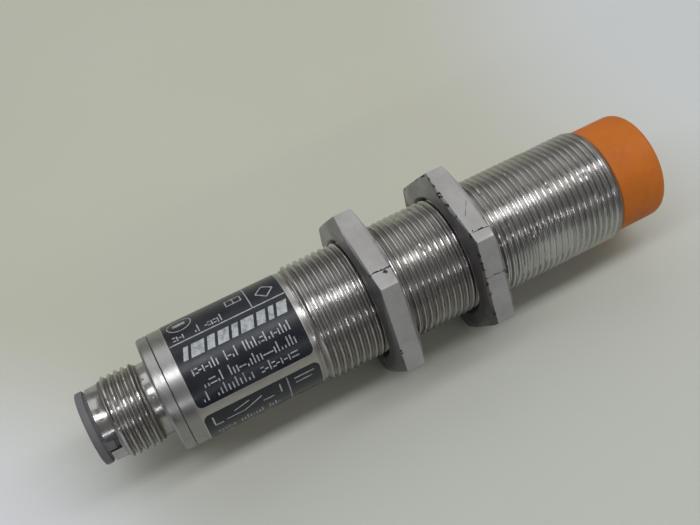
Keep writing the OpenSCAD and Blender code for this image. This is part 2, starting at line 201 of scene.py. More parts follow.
def thread_rows(x0, x1, crest_r, turn, wear=None):
    """Outline points of a right-handed thread between two places, at a share of one turn.

    The thread's last crest at either end runs out in a chamfer. wear(x, turn) takes metal off.
    """
    root_r = crest_r - THREAD_DEPTH * PITCH
    rows = []
    for k in range(-1, math.ceil((x1 - x0) / PITCH) + 1):
        for share, height in THREAD_PROFILE:
            x = min(max(x0 + PITCH * (k + share + turn), x0), x1)
            r = root_r + THREAD_DEPTH * PITCH * height
            r = min(r, root_r + (x - x0), root_r + (x1 - x))
            if wear:
                r -= wear(x, turn) * height
            rows.append((x, max(r, root_r)))
    return rows


# ---------------------------------------------------------------- node helpers

class Look:
    """A material, and short calls that add nodes to it."""

    def __init__(self, name, **values):
        self.material = bpy.data.materials.new(name)
        self.material.use_nodes = True
        self.tree = self.material.node_tree
        self.shader = self.tree.nodes["Principled BSDF"]
        self.place = self.tree.nodes.new("ShaderNodeTexCoord").outputs["Object"]
        self.normal = None
        for key, value in values.items():
            self.shader.inputs[key.replace("_", " ").title().replace("Ior", "IOR")].default_value = value

    def link(self, value, socket):
        """Feeds a socket from another one, or sets its constant."""
        if isinstance(value, bpy.types.NodeSocket):
            self.tree.links.new(value, socket)
        elif value is not None:
            socket.default_value = (*value, 1.0) if isinstance(value, tuple) and len(value) == 3 else value

    def set(self, socket, value):
        """Feeds or sets an input of the surface shader."""
        self.link(value, self.shader.inputs[socket])

    def stretched(self, x, y, z):
        """The place on the piece, scaled per axis: 1000 gives millimetres."""
        node = self.tree.nodes.new("ShaderNodeMapping")
        self.link(self.place, node.inputs["Vector"])
        node.inputs["Scale"].default_value = (x, y, z)
        return node.outputs["Vector"]

    def axis_value(self, axis):
        """Place along X, Y or Z, in millimetres."""
        node = self.tree.nodes.new("ShaderNodeSeparateXYZ")
        self.link(self.stretched(1000, 1000, 1000), node.inputs[0])
        return node.outputs[axis]

    def radius(self):
        """Distance from the sensor's axis, in millimetres."""
        node = self.tree.nodes.new("ShaderNodeVectorMath")
        node.operation = "LENGTH"
        self.link(self.stretched(0, 1000, 1000), node.inputs[0])
        return node.outputs["Value"]

    def across_flats(self):
        """Half the width across flats of the hexagon through a point, in millimetres."""
        node = self.tree.nodes.new("ShaderNodeSeparateXYZ")
        self.link(self.stretched(1000, 1000, 1000), node.inputs[0])
        y, z = self.times(node.outputs["Y"], math.cos(math.radians(30))), node.outputs["Z"]
        half_z = self.times(z, 0.5)
        sides = [self.math("ABSOLUTE", side) for side in (z, self.plus(half_z, y), self.minus(half_z, y))]
        return self.largest(sides[0], self.largest(sides[1], sides[2]))

    def turn(self):
        """Angle round the sensor's axis in degrees, from the front (-Y) towards the top."""
        node = self.tree.nodes.new("ShaderNodeSeparateXYZ")
        self.link(self.place, node.inputs[0])
        angle = self.math("ARCTAN2", node.outputs["Z"], self.times(node.outputs["Y"], -1.0))
        return self.times(angle, 180 / math.pi)

    def window(self, value, low, high, soft):
        """1 between two values, with soft ends."""
        return self.times(self.mask(value, low - soft, low), self.mask(value, high + soft, high))

    def math(self, operation, a, b=0.0, clamp=False):
        """A sum of two values, either of which may be a constant."""
        node = self.tree.nodes.new("ShaderNodeMath")
        node.operation = operation
        node.use_clamp = clamp
        self.link(a, node.inputs[0])
        self.link(b, node.inputs[1])
        return node.outputs[0]

    def hypotenuse(self, a, b):
        """Length of the diagonal of two sides."""
        return self.math("SQRT", self.plus(self.times(a, a), self.times(b, b)))

    def times(self, a, b):
        return self.math("MULTIPLY", a, b)

    def plus(self, a, b):
        return self.math("ADD", a, b)

    def minus(self, a, b):
        return self.math("SUBTRACT", a, b)

    def largest(self, a, b):
        return self.math("MAXIMUM", a, b)

    def noise(self, vector, scale=1.0, detail=3.0, roughness=0.5, distortion=0.0):
        """Cloudy noise between 0 and 1."""
        node = self.tree.nodes.new("ShaderNodeTexNoise")
        self.link(vector, node.inputs["Vector"])
        node.inputs["Scale"].default_value = scale
        node.inputs["Detail"].default_value = detail
        node.inputs["Roughness"].default_value = roughness
        node.inputs["Distortion"].default_value = distortion
        return node.outputs["Fac"]

    def spots(self, vector, scale, randomness=1.0):
        """Distance to the nearest of many scattered points."""
        node = self.tree.nodes.new("ShaderNodeTexVoronoi")
        self.link(vector, node.inputs["Vector"])
        node.inputs["Scale"].default_value = scale
        node.inputs["Randomness"].default_value = randomness
        return node.outputs["Distance"]

    def mask(self, value, low, high, out_low=0.0, out_high=1.0):
        """A smooth step of a value, from out_low at low to out_high at high."""
        node = self.tree.nodes.new("ShaderNodeMapRange")
        node.interpolation_type = "SMOOTHSTEP"
        self.link(value, node.inputs["Value"])
        flip = low > high
        node.inputs["From Min"].default_value = high if flip else low
        node.inputs["From Max"].default_value = low if flip else high
        node.inputs["To Min"].default_value = out_high if flip else out_low
        node.inputs["To Max"].default_value = out_low if flip else out_high
        return node.outputs["Result"]

    def mix(self, share, a, b):
        """Colour a where the share is 0, and b where it is 1."""
        node = self.tree.nodes.new("ShaderNodeMix")
        node.data_type = "RGBA"
        self.link(share, node.inputs["Factor"])
        self.link(a, node.inputs[6])
        self.link(b, node.inputs[7])
        return node.outputs[2]

    def bump(self, height, distance, strength=1.0):
        """Adds relief: a height of 1 stands up by a distance in metres."""
        node = self.tree.nodes.new("ShaderNodeBump")
        node.inputs["Strength"].default_value = strength
        node.inputs["Distance"].default_value = distance
        self.link(height, node.inputs["Height"])
        if self.normal:
            self.link(self.normal, node.inputs["Normal"])
        self.normal = node.outputs["Normal"]
        self.link(self.normal, self.shader.inputs["Normal"])


# ---------------------------------------------------------------- materials

# Colour of clean nickel plating, and the place behind which its low side gets a painted shade
NICKEL_TINT = (0.51, 0.50, 0.495)
X_LOW_SHADE = -30.0

# Half of a nut's width across its flats
NUT_HALF_FLAT = 12.0

def nickel(name, thread_r, x_from, x_to, grime=0.75, filled=None, pits=()):
    """Nickel-plated brass: turning marks round the axis, stains, grime down in the thread, and a painted
    shade on its low side.

    The thread runs between two places. A filled patch (from, to, lowest turn, highest turn) has
    little grime, and a pit is (place, turn, radius).
    """
    look = Look(name, metallic=1.0)
    r, x, turn = look.radius(), look.axis_value("X"), look.turn()
    fine = look.noise(look.stretched(9000, 500, 500), 1.0, 2.0)
    streaks = look.noise(look.stretched(2500, 260, 260), 1.0, 4.0, 0.6)
    clouds = look.noise(look.stretched(160, 160, 160), 1.0, 4.0, 0.6)
    specks = look.mask(look.spots(look.stretched(900, 900, 900), 1.0), 0.16, 0.05)
    speck_share = look.mask(look.noise(look.stretched(210, 210, 210)), 0.52, 0.66)
    specks = look.times(specks, speck_share)

    in_thread = look.window(x, x_from + 0.1, x_to - 0.1, 0.2)
    depth = look.mask(r, thread_r - 0.1, thread_r - 0.46)
    dirt = look.times(look.times(depth, in_thread), look.mask(clouds, 0.34, 0.62, 0.45, 1.0))
    dirt = look.times(dirt, grime)
    if filled:
        low, high, turn_low, turn_high = filled
        patch = look.times(look.window(x, low, high, 2.0), look.window(turn, turn_low, turn_high, 8.0))
        dirt = look.times(dirt, look.minus(1.0, look.times(patch, 0.85)))
    # Darker band where the thread ends at x_to and runs into the next part.
    end = look.window(x, x_to - 0.62, x_to + 0.1, 0.15)
    dirt = look.largest(dirt, look.times(end, 0.75))

    color = look.mix(look.mask(clouds, 0.35, 0.7), NICKEL_TINT, tuple(c * 0.86 for c in NICKEL_TINT))
    color = look.mix(look.mask(streaks, 0.45, 0.75, 0.0, 0.5), color, (0.42, 0.40, 0.37))
    matt = look.window(x, X_COLLAR - 0.2, X_THREAD - 0.6, 0.3)
    color = look.mix(look.times(matt, 0.55), color, (0.30, 0.30, 0.305))
    # Painted shade: on the low side, behind a set place along the axis, the plating is darker and browner.
    low_side_shade = look.times(look.mask(turn, 50, 15, 0.0, 0.55), look.mask(x, X_LOW_SHADE + 1, X_LOW_SHADE - 1))
    color = look.mix(low_side_shade, color, (0.27, 0.25, 0.225))
    color = look.mix(dirt, color, (0.21, 0.195, 0.175))
    color = look.mix(look.times(specks, 0.7), color, (0.12, 0.10, 0.09))
    for place, at, radius in pits:
        gap = look.hypotenuse(look.minus(x, place), look.times(look.minus(turn, at), 0.1))
        gap = look.plus(gap, look.times(look.minus(fine, 0.5), 0.4))
        specks = look.largest(specks, look.mask(gap, radius, radius - 0.08))
        color = look.mix(look.mask(gap, radius, radius - 0.08, 0.0, 0.8), color, (0.09, 0.08, 0.07))
    look.set("Base Color", color)

    rough = look.plus(look.mask(streaks, 0.3, 0.75, 0.15, 0.27), look.times(dirt, 0.3))
    rough = look.plus(rough, look.times(matt, 0.13))
    look.set("Roughness", look.math("ADD", rough, look.times(specks, 0.3), clamp=True))
    look.bump(fine, 0.000004, 0.6)
    look.bump(clouds, 0.00001, 0.4)
    look.bump(look.times(specks, -1.0), 0.00004, 0.8)
    return look.material


def nut_plating(name, node, chip_level, scratches, chips):
    """Dull plating on a lock nut, tumbled: dark chips along its edges, scratches across a flat, grime
    mixed with painted shade on its faces, and a painted shade over most of the rear face.

    A scratch is (turn at its middle, degrees per millimetre of slant, width in degrees, from, to),
    and a chip is (place across the flat, turn, radius). Places are millimetres from the rear face.
    """
    look = Look(name, metallic=0.65)
    low, high = box_mm(node)[0].x, box_mm(node)[1].x
    x, r, turn = look.axis_value("X"), look.radius(), look.turn()
    grain = look.noise(look.stretched(2600, 2600, 2600), 1.0, 4.0, 0.7)
    clouds = look.noise(look.stretched(190, 190, 190), 1.0, 4.0, 0.6)
    wobble = look.noise(look.stretched(1300, 1300, 1300), 1.0, 3.0, 0.6)
    broken = look.noise(look.stretched(1000, 1000, 1000), 1.0, 5.0, 0.65, 0.3)

    hexagon = look.across_flats()
    outside = look.mask(hexagon, NUT_HALF_FLAT - 0.5, NUT_HALF_FLAT - 0.25)
    near_front = look.times(look.mask(x, high - 0.8, high - 0.35), 0.9)
    near_edge = look.largest(look.mask(x, low + 1.05, low + 0.55), near_front)
    near_edge = look.times(near_edge, look.mask(x, low + 0.1, low + 0.3, 0.8, 1.0))
    level = look.minus(1.0, look.times(near_edge, 1.0 - chip_level))
    chipped = look.times(look.mask(look.minus(broken, level), 0.0, 0.02), outside)
    side = look.mask(hexagon, NUT_HALF_FLAT - 0.1, NUT_HALF_FLAT - 0.04)
    for at, slant, width, start, end in scratches:
        line = look.times(look.minus(x, (low + high) / 2), slant)
        line = look.plus(line, look.times(wobble, 3.0))
        off = look.math("ABSOLUTE", look.minus(turn, look.plus(line, at - 1.5)))
        thin = look.times(look.mask(wobble, 0.35, 0.6, 0.3, 1.3), width)
        line = look.mask(look.minus(off, thin), 0.1, -0.1)
        line = look.times(line, look.window(x, low + start, low + end, 0.1))
        chipped = look.largest(chipped, look.times(line, side))
    for place, at, radius in chips:
        gap = look.hypotenuse(look.minus(x, low + place), look.times(look.minus(turn, at), 0.22))
        gap = look.plus(gap, look.times(look.minus(broken, 0.5), 2.2))
        chipped = look.largest(chipped, look.times(look.mask(gap, radius, radius - 0.1), side))

    rear_face = look.mask(x, low + 0.65, low + 0.55)
    face = look.largest(rear_face, look.mask(x, high - 0.65, high - 0.55))
    # Grime mixed with painted shade on both faces, heaviest near the bore and in cloudy patches.
    grime = look.times(look.mask(r, 11.9, 9.3), look.mask(clouds, 0.3, 0.62, 0.1, 1.0))
    # Painted shade: the faces' grime grows stronger away from the top, towards the front and bottom.
    lower_shade = look.mask(turn, 100, 62, 0.35, 1.0)
    grime = look.largest(grime, look.times(look.mask(clouds, 0.25, 0.6, 0.6, 1.0), 0.75))
    grime = look.times(look.times(grime, face), look.times(lower_shade, 0.8))
    color = look.mix(look.mask(clouds, 0.3, 0.7), (0.43, 0.42, 0.42), (0.36, 0.35, 0.35))
    color = look.mix(look.mask(grain, 0.5, 0.85, 0.0, 0.35), color, (0.23, 0.22, 0.22))
    color = look.mix(grime, color, (0.10, 0.09, 0.085))
    # Painted shade over most of the rear face; only its upper back part stays light.
    shaded = look.times(look.mask(turn, 112, 86, 0.0, 0.6), rear_face)
    color = look.mix(shaded, color, (0.045, 0.042, 0.045))
    color = look.mix(chipped, color, (0.03, 0.027, 0.03))
    look.set("Base Color", color)
    look.set("Roughness", look.mask(clouds, 0.3, 0.7, 0.42, 0.55))
    look.bump(grain, 0.00002, 0.5)
    look.bump(look.times(chipped, -1.0), 0.00008, 0.9)
    return look.material


def moulded_plastic(name, color, shade, rough=0.45, stain=(0.2, 0.1, 0.05), stain_share=0.3):
    """Moulded plastic: fine spark-eroded grain, slight shade changes, and some dirt."""
    look = Look(name, specular_ior_level=0.3)
    grain = look.noise(look.stretched(7000, 7000, 7000), 1.0, 2.0)
    clouds = look.noise(look.stretched(140, 140, 140), 1.0, 5.0, 0.6)
    smears = look.noise(look.stretched(420, 180, 180), 1.0, 4.0, 0.7, 0.8)
    base = look.mix(look.mask(clouds, 0.3, 0.7), color, shade)
    base = look.mix(look.mask(smears, 0.56, 0.8, 0.0, stain_share), base, stain)
    lines = look.noise(look.stretched(300, 520, 520), 1.0, 2.0, 0.4, 1.5)
    scuffs = look.mask(look.math("ABSOLUTE", look.minus(lines, 0.5)), 0.006, 0.001)
    scuffs = look.times(scuffs, look.mask(clouds, 0.5, 0.62))
    base = look.mix(look.times(scuffs, 0.35), base, tuple(min(1.0, c * 1.5 + 0.03) for c in color))
    look.set("Base Color", base)
    look.set("Roughness", look.mask(smears, 0.35, 0.75, rough, rough + 0.18))
    look.bump(grain, 0.000008, 0.5)
    look.bump(smears, 0.00002, 0.3)
    look.bump(look.times(scuffs, -1.0), 0.00001, 0.5)
    return look.material


def label_silver(name):
    """Unprinted label film: matt silver with a faint grain along the wrap."""
    look = Look(name, metallic=0.85)
    grain = look.noise(look.stretched(1500, 300, 300), 1.0, 4.0, 0.6)
    clouds = look.noise(look.stretched(150, 150, 150), 1.0, 3.0)
    color = look.mix(look.mask(clouds, 0.3, 0.7), (0.47, 0.455, 0.42), (0.40, 0.385, 0.36))
    look.set("Base Color", look.mix(look.mask(grain, 0.5, 0.8, 0.0, 0.3), color, (0.31, 0.29, 0.27)))
    look.set("Roughness", look.mask(grain, 0.3, 0.7, 0.32, 0.44))
    look.bump(grain, 0.000006, 0.5)
    return look.material


def label_ink(name):
    """Black print on the film, with fine scuffs that let a little silver through."""
    look = Look(name, specular_ior_level=0.36)
    clouds = look.noise(look.stretched(230, 230, 230), 1.0, 4.0, 0.6)
    scuffs = look.noise(look.stretched(2600, 500, 900), 1.0, 3.0, 0.6, 1.2)
    color = look.mix(look.mask(clouds, 0.3, 0.7), (0.009, 0.011, 0.017), (0.017, 0.02, 0.029))
    look.set("Base Color", look.mix(look.mask(scuffs, 0.66, 0.8, 0.0, 0.35), color, (0.16, 0.16, 0.17)))
    look.set("Roughness", look.mask(clouds, 0.3, 0.7, 0.24, 0.34))
    look.bump(scuffs, 0.000004, 0.4)
    return look.material


def label_print(name):
    """Silver-grey marks and lines in the black print."""
    look = Look(name, metallic=0.3)
    wear = look.noise(look.stretched(1700, 1700, 1700), 1.0, 3.0, 0.6)
    color = look.mix(look.mask(wear, 0.4, 0.75), (0.42, 0.45, 0.47), (0.20, 0.22, 0.24))
    look.set("Base Color", color)
    look.set("Roughness", look.mask(wear, 0.3, 0.7, 0.4, 0.55))
    return look.material


def gold(name):
    """Thin gold plating, drawn along the pins."""
    look = Look(name, metallic=1.0)
    streaks = look.noise(look.stretched(3000, 900, 900), 1.0, 3.0)
    look.set("Base Color", look.mix(look.mask(streaks, 0.35, 0.7), (0.86, 0.64, 0.26), (0.70, 0.50, 0.20)))
    look.set("Roughness", look.mask(streaks, 0.3, 0.7, 0.16, 0.26))
    look.bump(streaks, 0.000002, 0.15)
    return look.material


def speckled(name, color, shade, scale=900, rough=0.5, metallic=0.0):
    """A plain technical surface with a fine grain, for the parts inside."""
    look = Look(name, metallic=metallic)
    grain = look.noise(look.stretched(scale, scale, scale), 1.0, 4.0, 0.6)
    look.set("Base Color", look.mix(look.mask(grain, 0.35, 0.65), color, shade))
    look.set("Roughness", look.mask(grain, 0.3, 0.7, rough, rough + 0.15))
    look.bump(grain, 0.00001, 0.5)
    return look.material


BARREL_NICKEL = nickel(
    "barrel_nickel", BARREL_R, X_THREAD, X_CAP,
    filled=(WORN_X - 5.5, WORN_X + 5.5, WORN_TURN - 18.0, WORN_TURN + 20.0))
PLUG_NICKEL = nickel(
    "plug_nickel", PLUG_R, X_PLUG_THREAD, X_NECK, 0.9,
    pits=((X_LAND + 0.95, 67.0, 0.24), (X_NECK + 0.5, 96.0, 0.14), (X_COLLAR + 0.9, 40.0, 0.1)))
REAR_PLATING = nut_plating(
    "rear_nut_plating", "rear_lock_nut", 0.63,
    ((71.0, -0.4, 0.42, 0.3, 3.8),),
    ((2.5, 69.6, 0.3), (0.7, 13.0, 0.22)))
FRONT_PLATING = nut_plating(
    "front_nut_plating", "front_lock_nut", 0.53,
    ((66.8, -0.3, 0.4, 1.0, 3.8), (34.8, -0.1, 0.3, 0.5, 4.0), (82.0, 7.0, 0.2, 1.6, 3.0)),
    ((1.1, 67.5, 0.15), (0.7, 42.0, 0.3), (0.75, 22.0, 0.3)))
ORANGE = moulded_plastic(
    "orange_plastic", (0.57, 0.155, 0.013), (0.50, 0.13, 0.010), 0.55, (0.28, 0.09, 0.025))
GREY_PLASTIC = moulded_plastic(
    "grey_plastic", (0.165, 0.16, 0.17), (0.12, 0.115, 0.125), 0.5, (0.08, 0.07, 0.065))
LABEL_SILVER = label_silver("label_silver")
LABEL_INK = label_ink("label_ink")
LABEL_PRINT = label_print("label_print")
GOLD = gold("gold_contact")

INNER_LOOKS = {
    "seal_rubber": speckled("seal_rubber", (0.02, 0.02, 0.02), (0.035, 0.035, 0.035), 1500, 0.6),
    "ferrite": speckled("ferrite", (0.04, 0.038, 0.038), (0.065, 0.06, 0.06), 1200, 0.55),
    "bobbin_plastic": speckled("bobbin_plastic", (0.66, 0.62, 0.50), (0.58, 0.54, 0.43), 700, 0.45),
    "copper_wire": speckled("copper_wire", (0.55, 0.20, 0.08), (0.42, 0.14, 0.05), 2500, 0.3, 0.9),
    "insulating_film": speckled("insulating_film", (0.60, 0.45, 0.20), (0.52, 0.38, 0.16), 400, 0.4),
    "board_laminate": speckled("board_laminate", (0.01, 0.12, 0.045), (0.012, 0.16, 0.06), 1400, 0.35),
    "black_component": speckled("black_component", (0.015, 0.015, 0.016), (0.03, 0.03, 0.031), 2600, 0.5),
    "yellow_component": speckled("yellow_component", (0.68, 0.40, 0.04), (0.60, 0.34, 0.035), 1400, 0.45),
    "ceramic_component": speckled("ceramic_component", (0.46, 0.33, 0.20), (0.40, 0.28, 0.17), 1800, 0.5),
    "white_component": speckled("white_component", (0.78, 0.78, 0.75), (0.70, 0.70, 0.67), 1500, 0.4),
    "potting_resin": speckled("potting_resin", (0.02, 0.02, 0.022), (0.03, 0.03, 0.032), 300, 0.25),
    "grey_plastic": GREY_PLASTIC,
    "gold_contact": GOLD,
}


# ---------------------------------------------------------------- barrel, cap and connector

def dents(x, turn):
    """Knocks and wear on the thread crests, in millimetres of metal gone."""
    angle = 2 * math.pi * turn
    at = Vector((x * 0.55, 5 * math.cos(angle), 5 * math.sin(angle)))
    worn = max(0.0, noise.noise(at * 0.35) - 0.08) * 0.16
    turn_deg = (360 * turn + 180) % 360 - 180
    worn += 0.2 * math.exp(-((x - WORN_X) / 6.0) ** 4 - ((turn_deg - WORN_TURN) / 26.0) ** 4)
    knock = max(0.0, noise.noise(at * 1.5 + Vector((7, 3, 1))) - 0.36) * 0.28
    return worn + knock


def plug_dents(x, turn):
    """Knocks on the connector's thread, in millimetres of metal gone."""
    angle = 2 * math.pi * turn
    at = Vector((x * 1.3, 4 * math.cos(angle), 4 * math.sin(angle)))
    return max(0.0, noise.noise(at * 0.8) - 0.1) * 0.2 + max(0.0, noise.noise(at * 2.3) - 0.35) * 0.4


def build_barrel():
    """Tube with a smooth label end and a right-handed thread up to the cap."""
    root_r = BARREL_R - THREAD_DEPTH * PITCH
    before = filleted([
        (X_SEAM, BORE_R, 0),
        (X_SEAM, PLAIN_R - 0.2, 0),
        (X_SEAM + 0.12, PLAIN_R, 0.1),
        (X_THREAD - 0.25, PLAIN_R, 0.1),
        (X_THREAD, root_r, 0),
    ])
    after = [(X_CAP, BORE_R)]
    points, faces = lathe(
        lambda t: before + thread_rows(X_THREAD, X_CAP, BARREL_R, t, dents) + after)
    make_piece("barrel_body", points, faces, "sensor", BARREL_NICKEL, ("barrel",), 60)


def build_cap():
    """Moulded cup with a rounded rim and a thin face, closed by its spigot."""
    outside = filleted([
        (X_CAP - CAP_SPIGOT_LEN, CAP_SPIGOT_IN_R, 0),
        (X_CAP - CAP_SPIGOT_LEN, BORE_R - 0.03, 0.2),
        (X_CAP, BORE_R - 0.03, 0),
        (X_CAP, CAP_R, 0.25),
        (X_FACE, CAP_R, 1.5),
        (X_FACE, 3.0, 0),
        (X_FACE, 0.0, 0),
    ], 8)
    inside = [
        (X_FACE - 0.7, 0.0),
        (X_FACE - 0.7, CAP_IN_R - 0.4),
        (X_FACE - 1.1, CAP_IN_R),
        (X_CAP + 0.4, CAP_IN_R),
        (X_CAP - 0.6, CAP_SPIGOT_IN_R),
    ]
    points, faces = turned(outside + inside)
    make_piece("cap_body", points, faces, "sensor", ORANGE, ("sensing_cap",), 50)


def cut_with_box(piece, centre, size, turn):
    """Cuts a box out of a piece. The box is turned about the sensor's axis."""
    bpy.ops.mesh.primitive_cube_add(size=1)
    tool = bpy.context.object
    tool.matrix_world = (
        Matrix.Rotation(-math.radians(turn), 4, "X")
        @ Matrix.Translation(Vector(centre) * MM)
        @ Matrix.Diagonal((*(Vector(size) * MM), 1)))
    cut = piece.modifiers.new("cut", "BOOLEAN")
    cut.operation = "DIFFERENCE"
    cut.solver = "EXACT"
    cut.object = tool
    bpy.context.view_layer.update()
    result = bpy.data.meshes.new_from_object(piece.evaluated_get(bpy.context.evaluated_depsgraph_get()))
    piece.modifiers.clear()
    piece.data = result
    bpy.data.objects.remove(tool)


def build_plug_shell():
    """Metal stub with the connector thread, its neck, the collar and a spigot in the barrel."""
    root_r = PLUG_R - THREAD_DEPTH * PITCH
    before = filleted([
        (X_LAND, SHELL_BORE_R, 0),
        (X_LAND, root_r - 0.03, 0.12),
        (X_PLUG_THREAD, root_r, 0),
    ])
    after = filleted([
        (X_NECK, root_r, 0),
        (X_COLLAR, root_r, 0.35),
        (X_COLLAR, COLLAR_R, 0.5),
        (X_SEAM, COLLAR_R, 0.12),
        (X_SEAM, BORE_R - 0.02, 0),
        (X_SHELL_END, BORE_R - 0.02, 0),
        (X_SHELL_END, SHELL_BORE_R, 0),
    ])
    points, faces = lathe(
        lambda t: before + thread_rows(X_PLUG_THREAD, X_NECK, PLUG_R, t, plug_dents) + after)
    piece = make_piece(
        "plug_shell", points, faces, "sensor", PLUG_NICKEL, ("connector_shell",), 50)
    depth = RIM_R - SHELL_BORE_R + 0.3
    centre = (X_LAND + SLOT_LEN / 2 - 0.5, -RIM_R + depth / 2 - 0.5, 0)
    cut_with_box(piece, centre, (SLOT_LEN + 1, depth + 1, SLOT_W), SLOT_TURN)


def build_plug_insert():
    """Plastic insert: rim, skirt, floor, key and the tongue in the slot."""
    floor_x = X_TIP + MOUTH_DEPTH
    outline = filleted([
        (floor_x, 0.0, 0),
        (floor_x, MOUTH_R, 0.15),
        (X_TIP, MOUTH_R, 0.2),
        (X_TIP, RIM_R, 0.3),
        (X_RIM, RIM_R, 0.2),
        (X_RIM, RIM_R - 0.45, 0.08),
        (X_LAND, RIM_R - 0.45, 0.05),
        (X_LAND, SHELL_BORE_R - 0.02, 0),
        (X_INSERT_END, SHELL_BORE_R - 0.02, 0),
        (X_INSERT_END, 0.0, 0),
    ])
    points, faces = turned(outline, 96)
    make_piece(
        "plug_insert", points, faces, "sensor", GREY_PLASTIC, ("contact_carrier",), 50)
    rounded_block(
        "insert_tongue", (X_RIM - 0.15, -RIM_R + 0.3, -SLOT_W / 2 + 0.05),
        (X_LAND + SLOT_LEN - TONGUE_END_GAP, -SHELL_BORE_R + 0.3, SLOT_W / 2 - 0.05), 0.12, SLOT_TURN)
    rounded_block(
        "insert_key", (X_TIP + 0.8, -MOUTH_R - 0.1, -0.5), (floor_x + 0.1, -MOUTH_R + 0.7, 0.5), 0.15, 90)


def rounded_block(name, low, high, radius, turn):
    """A plastic block with rounded edges, turned about the sensor's axis."""
    work = bmesh.new()
    bmesh.ops.create_cube(work, size=1)
    middle, size = (Vector(low) + Vector(high)) / 2, Vector(high) - Vector(low)
    bmesh.ops.transform(
        work, verts=work.verts,
        matrix=Matrix.Translation(middle * MM) @ Matrix.Diagonal((*(size * MM), 1)))
    bmesh.ops.bevel(
        work, geom=work.edges[:], offset=radius * MM, segments=3, profile=0.5, affect="EDGES")
    spin = Matrix.Rotation(-math.radians(turn), 4, "X")
    points = [spin @ v.co for v in work.verts]
    faces = [[v.index for v in f.verts] for f in work.faces]
    work.free()
    return make_piece(name, points, faces, "sensor", GREY_PLASTIC)


# ---------------------------------------------------------------- label

# The film's ends stop this many degrees short of the underside. Thickness of the ink and the print
LABEL_GAP = 4.0
INK_T = 0.012
PRINT_T = 0.008


def wrapped(rows, r0, r1):
    """A closed thin patch round the axis. Each row is (turn, x from, x to)."""
    points = []
    for turn, xa, xb in rows:
        points += [on_axis(xa, r0, turn), on_axis(xb, r0, turn)]
        points += [on_axis(xb, r1, turn), on_axis(xa, r1, turn)]
    last = len(points) - 4
    faces = grid_faces(len(rows), 4)
    faces += [(3, 2, 1, 0), (last, last + 1, last + 2, last + 3)]
    return points, faces


def panel_rows(turn0, turn1, x0, x1, corner, r, step=2.0):
    """Rows of a rectangle with rounded corners, wrapped at radius r."""
    per_turn = 180 / (math.pi * r)
    turns = []
    for k in range(9):
        turns.append(turn0 + corner * (1 - math.cos(math.pi / 2 * k / 8)) * per_turn)
    inner0, inner1 = turn0 + corner * per_turn, turn1 - corner * per_turn
    count = max(1, int((inner1 - inner0) / step))
    turns += [inner0 + (inner1 - inner0) * k / count for k in range(1, count)]
    turns += [turn1 - corner * (1 - math.cos(math.pi / 2 * k / 8)) * per_turn for k in range(8, -1, -1)]
    rows = []
    for turn in turns:
        from_end = min(turn - turn0, turn1 - turn) / per_turn
        inset = 0.0
        if from_end < corner:
            inset = corner - math.sqrt(max(0.0, corner ** 2 - (corner - from_end) ** 2))
        rows.append((turn, x0 + inset, x1 - inset))
    return rows


# Plain ticks, dashes and dots, as boxes on a unit square: (x from, x to, height from, height to)
MARKS = (
    ((0.5, 0.5, 0, 1),), ((0.5, 0.5, 0, 1),), ((0.5, 0.5, 0, 0.6),), ((0.5, 0.5, 0, 0.6),),
    ((0.5, 0.5, 0, 0.6),), ((0.2, 0.8, 0.3, 0.3),), ((0.5, 0.5, 0, 0.2),),
    ((0.2, 0.8, 0.1, 0.1), (0.2, 0.8, 0.6, 0.6)),
)


